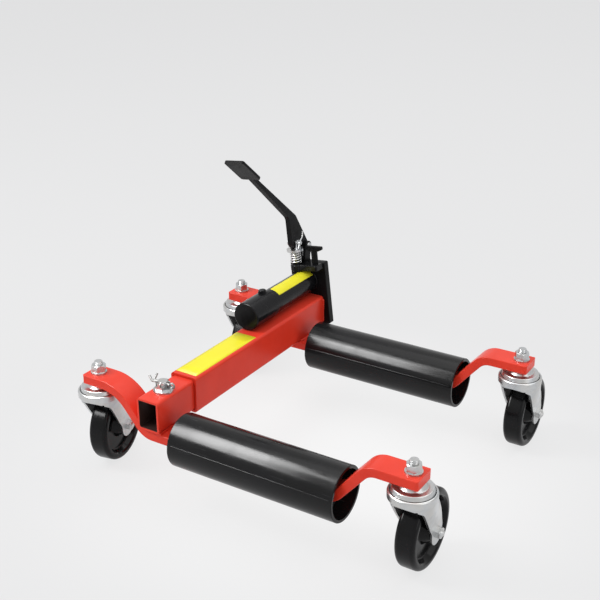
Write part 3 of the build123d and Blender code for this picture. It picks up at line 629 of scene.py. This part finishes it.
# bolt thread: a cylinder whose radius is a triangle wave of height less turn, so its ridge climbs as a helix
def boltThread(name, x, y, nutTop, boltTop, radius, body):
    pitch, depth = threadLook["pitch"], threadLook["depth"]
    rows = int((boltTop - nutTop + threadLook["buried"]) / pitch * threadLook["perPitch"])
    z = np.linspace(nutTop - threadLook["buried"], boltTop + threadLook["over"], rows)
    turn = np.linspace(0, 2 * np.pi, threadLook["around"], endpoint=False)
    wave = np.abs((z[:, None] / pitch - turn[None, :] / (2 * np.pi)) % 1.0 * 2 - 1)
    tip = np.clip((z - z[-1]) / threadLook["ease"] + 1, 0, 1)  # the end is turned to a short cone
    root = radius + threadLook["proud"]
    reach = np.minimum(root + depth * wave, root + depth * (1 - tip[:, None]))
    pole = np.zeros((1, len(turn)))
    reach = np.concatenate([pole, reach, pole])
    z = np.concatenate([z[:1], z, z[-1:]])
    height = np.broadcast_to(z[:, None], reach.shape)
    points = np.stack([x + reach * np.cos(turn), y + reach * np.sin(turn), height], -1)
    piece = meshPiece(name, points, gridQuads(len(z), len(turn), True), zincPlate, body, smooth=False)


for end, body in (("front", "slide"), ("rear", "frame")):
    nutTop, boltTop = (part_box(end + kind)[1][2] for kind in ("_king_nuts", "_king_bolts"))
    for side in ("left", "right"):
        x, y = joints[end + "_" + side + "_swivel"]["pos_m"][:2]
        boltThread(end + side.title() + "Thread", x, y, nutTop, boltTop, threadLook["kingRadius"], body)
hitchLow, hitchHigh = (np.array(corner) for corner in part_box("hitch_bolt"))
hitchX, hitchY = (hitchLow + hitchHigh)[:2] / 2
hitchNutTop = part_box("hitch_nut")[1][2]
boltThread("hitchThread", hitchX, hitchY, hitchNutTop, hitchHigh[2], threadLook["hitchRadius"], "slide")
print("seams and threads cut")

springLook = dict(
    radius=0.0076, wire=0.00095, turns=4.5, perTurn=40, around=12,
    flat=0.35, closed=0.5,  # turns that lie closed at each end, and turns in which the pitch then opens
    touch=2.05, tip=0.03,  # least pitch in wire radii, and the part of a turn that the wire's end takes up
)


# return spring: a helix round the plunger with closed ends
def coilSpring(name):
    radius, wire, turns = springLook["radius"], springLook["wire"], springLook["turns"]
    stroke = joints["plunger_stroke"]
    down = np.array(stroke["axis"], float)
    up = -down / np.linalg.norm(down)
    across = np.array([up[2], 0.0, -up[0]])
    ahead = np.array([0.0, 1.0, 0.0])
    corners = np.array(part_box("plunger_spring"), float)
    middle = corners.mean(axis=0)
    pin = np.array(stroke["pos_m"], float)
    centre = pin + up * ((middle - pin) @ up)  # middle of the coil, on the plunger's own line
    high = (corners[1, 2] - corners[0, 2]) - 2 * radius * abs(up[0])
    count = int(turns * springLook["perTurn"])
    turn = np.linspace(0, turns, count)
    fromEnd = np.minimum(turn, turns - turn)
    # the pitch is least in the closed end turns and opens smoothly between them
    pitch = np.clip((fromEnd - springLook["flat"]) / springLook["closed"], 0, 1)
    rise = np.concatenate([[0], np.cumsum((pitch[1:] + pitch[:-1]) / 2 * np.diff(turn))])
    least = springLook["touch"] * wire
    free = high - 2 * wire - least * turns
    lift = least * turn + rise / rise[-1] * free
    angle = 2 * np.pi * turn
    circle = np.outer(np.cos(angle), across) + np.outer(np.sin(angle), ahead)
    base = centre - up * (high / 2 - wire)
    path = base + np.outer(lift, up) + radius * circle
    taper = np.clip(fromEnd / springLook["tip"], 0, 1)
    points = tubeAlong(path, wire * np.sqrt(taper), up, springLook["around"])
    piece = meshPiece(name, points, gridQuads(count, springLook["around"], True), springWire, "frame")
    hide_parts("plunger_spring")
    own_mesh(piece)


coilSpring("returnSpring")
print("spring wound")


# how a ray arrives: straight from the camera, or by way of a reflection or through glass
def rayKinds(tree):
    rays = tree.nodes.new("ShaderNodeLightPath").outputs
    mirrored = maths(tree, "MAXIMUM", rays["Is Glossy Ray"], rays["Is Transmission Ray"])
    return rays["Is Camera Ray"], mirrored


# two shaders by the share of the second, led to the output's surface
def mixShaders(tree, share, first, second, surface):
    mix = tree.nodes.new("ShaderNodeMixShader")
    for value, socket in zip((share, first, second), mix.inputs):
        feed(tree, value, socket)
    feed(tree, mix.outputs["Shader"], surface)


# the glow's colour holds a painted pool of light: middle near the centre, edge past the outer reach
floorLook = dict(
    middle=(0.93, 0.93, 0.93), edge=(0.80, 0.80, 0.805), inner=0.08, outer=0.50,
    seen=0.86, mirrored=0.45,  # how far it is its own colour to the camera and in reflections
    sheet=((0.80, 0.80, 0.80), (0.82, 0.82, 0.82)), rough=0.9, ripple=30.0, mottle=1.2,
    reach=28.0, points=7, drop=0.0005,
)


# floor: a flat grid for one large pale sheet, with a painted pool of light that makes it paler in the middle
def paleFloor():
    material, tree, shader, place = startMaterial("paleFloor")
    mottle = skinOn(tree, place, floorLook)["Mottle"]
    feed(tree, mixColour(tree, mottle, *floorLook["sheet"]), shader.inputs["Base Color"])
    shader.inputs["Roughness"].default_value = floorLook["rough"]
    shader.inputs["Specular IOR Level"].default_value = 0.0
    # to the camera, and less so in reflections, the sheet is its own pale colour, so the shadow stays faint
    # painted pool of light: the glow is brightest within the inner reach and dims to the edge colour by the
    # outer reach
    reach = vectorMaths(tree, "LENGTH", place, result="Value")
    ease = spread(tree, reach, (floorLook["inner"], floorLook["outer"]), ease="SMOOTHSTEP")
    pale = mixColour(tree, ease, floorLook["middle"], floorLook["edge"])
    glow = addNode(tree, "ShaderNodeEmission", Color=pale, Strength=1.0)
    direct, mirrored = rayKinds(tree)
    mirrorShare = maths(tree, "MULTIPLY", mirrored, floorLook["mirrored"])
    share = maths(tree, "MULTIPLY_ADD", direct, floorLook["seen"], mirrorShare)
    surface = tree.nodes["Material Output"].inputs["Surface"]
    mixShaders(tree, share, shader.outputs["BSDF"], glow.outputs["Emission"], surface)
    edge = np.linspace(-floorLook["reach"], floorLook["reach"], floorLook["points"])
    x, y = np.meshgrid(edge, edge)
    points = np.stack([x, y, np.full_like(x, -floorLook["drop"])], -1).reshape(-1, 3)
    mesh = bpy.data.meshes.new("paleFloor")
    mesh.from_pydata(points.tolist(), [], gridQuads(len(edge), len(edge), False).tolist())
    mesh.materials.append(material)
    floor = bpy.data.objects.new("paleFloor", mesh)
    bpy.context.scene.collection.objects.link(floor)


worldLook = dict(
    fill=dict(Color=(0.97, 0.98, 1.0), Strength=0.50),
    seen=dict(Color=(0.77, 0.77, 0.77), Strength=1.0),
)


# backdrop: the world is pale to the camera and in reflections, and a softer fill to everything else
def paleWorld():
    world = bpy.data.worlds.new("paleWorld")
    world.use_nodes = True
    tree = world.node_tree
    tree.nodes.clear()
    output = tree.nodes.new("ShaderNodeOutputWorld")
    fill = addNode(tree, "ShaderNodeBackground", **worldLook["fill"])
    seen = addNode(tree, "ShaderNodeBackground", **worldLook["seen"])
    either = maths(tree, "MAXIMUM", *rayKinds(tree))
    backgrounds = (fill.outputs["Background"], seen.outputs["Background"])
    mixShaders(tree, either, *backgrounds, output.inputs["Surface"])
    bpy.context.scene.world = world


lamps = dict(
    key=dict(
        at=(-1.30, -1.00, 1.90), aim=(0.0, 0.0, 0.1), turn=0.0, size=(0.75, 1.15), power=27.0, diffuse=True,
    ),
    top=dict(
        at=(0.3, 0.6, 3.2), aim=(0.0, 0.0, 0.0), turn=0.0, size=(3.8, 3.8), power=56.0, diffuse=True,
    ),
    side=dict(
        at=(2.5, -0.6, 1.2), aim=(0.0, 0.0, 0.1), turn=0.0, size=(1.8, 1.8), power=11.0, diffuse=True,
    ),
    strip=dict(  # for highlights alone, so it leaves the plain light as it is
        at=(-0.39, -0.53, 0.65), aim=(-0.39, -0.44, 0.05), turn=-16.0, size=(0.25, 0.64), power=11.0,
        diffuse=False,
    ),
)


def softLamps():
    for name, lamp in lamps.items():
        data = bpy.data.lights.new(name + "Softbox", "AREA")
        data.shape = "RECTANGLE"
        data.size, data.size_y = lamp["size"]
        data.energy = lamp["power"]
        light = bpy.data.objects.new(name + "Softbox", data)
        light.visible_diffuse = lamp["diffuse"]
        light.location = lamp["at"]
        look = (Vector(lamp["aim"]) - Vector(lamp["at"])).to_track_quat("-Z", "Y").to_matrix()
        light.rotation_euler = (look @ Matrix.Rotation(np.radians(lamp["turn"]), 3, "Z")).to_euler()
        bpy.context.scene.collection.objects.link(light)


viewpoint = dict(
    at=(0.64330, -1.10415, 0.77122), azimuth=31.53, elevation=23.12, roll=0.24, sensor=36.0, clipEnd=60.0,
    focal=1066.27, frame=600.0,  # both in pixels
)


# camera: azimuth turns it round the object, elevation lifts it, roll tips the frame
def photoCamera():
    azimuth, elevation, roll = (np.radians(viewpoint[key]) for key in ("azimuth", "elevation", "roll"))
    level = np.array([-np.sin(azimuth), np.cos(azimuth), 0.0])
    ahead = level * np.cos(elevation) - np.array([0.0, 0.0, np.sin(elevation)])
    right = np.array([np.cos(azimuth), np.sin(azimuth), 0.0])
    up = np.cross(right, ahead)
    tipped = np.cos(roll) * right + np.sin(roll) * up
    upright = np.cos(roll) * up - np.sin(roll) * right
    data = bpy.data.cameras.new("photoCamera")
    data.sensor_width = viewpoint["sensor"]
    data.lens = viewpoint["focal"] / viewpoint["frame"] * data.sensor_width
    data.clip_end = viewpoint["clipEnd"]
    camera = bpy.data.objects.new("photoCamera", data)
    turn = Matrix(np.stack([tipped, upright, -ahead], axis=1).tolist()).to_4x4()
    camera.matrix_world = Matrix.Translation(viewpoint["at"]) @ turn
    bpy.context.scene.collection.objects.link(camera)
    bpy.context.scene.camera = camera


paleFloor()
paleWorld()
softLamps()
photoCamera()
bpy.context.scene.view_settings.view_transform = "Standard"
print("stage set")
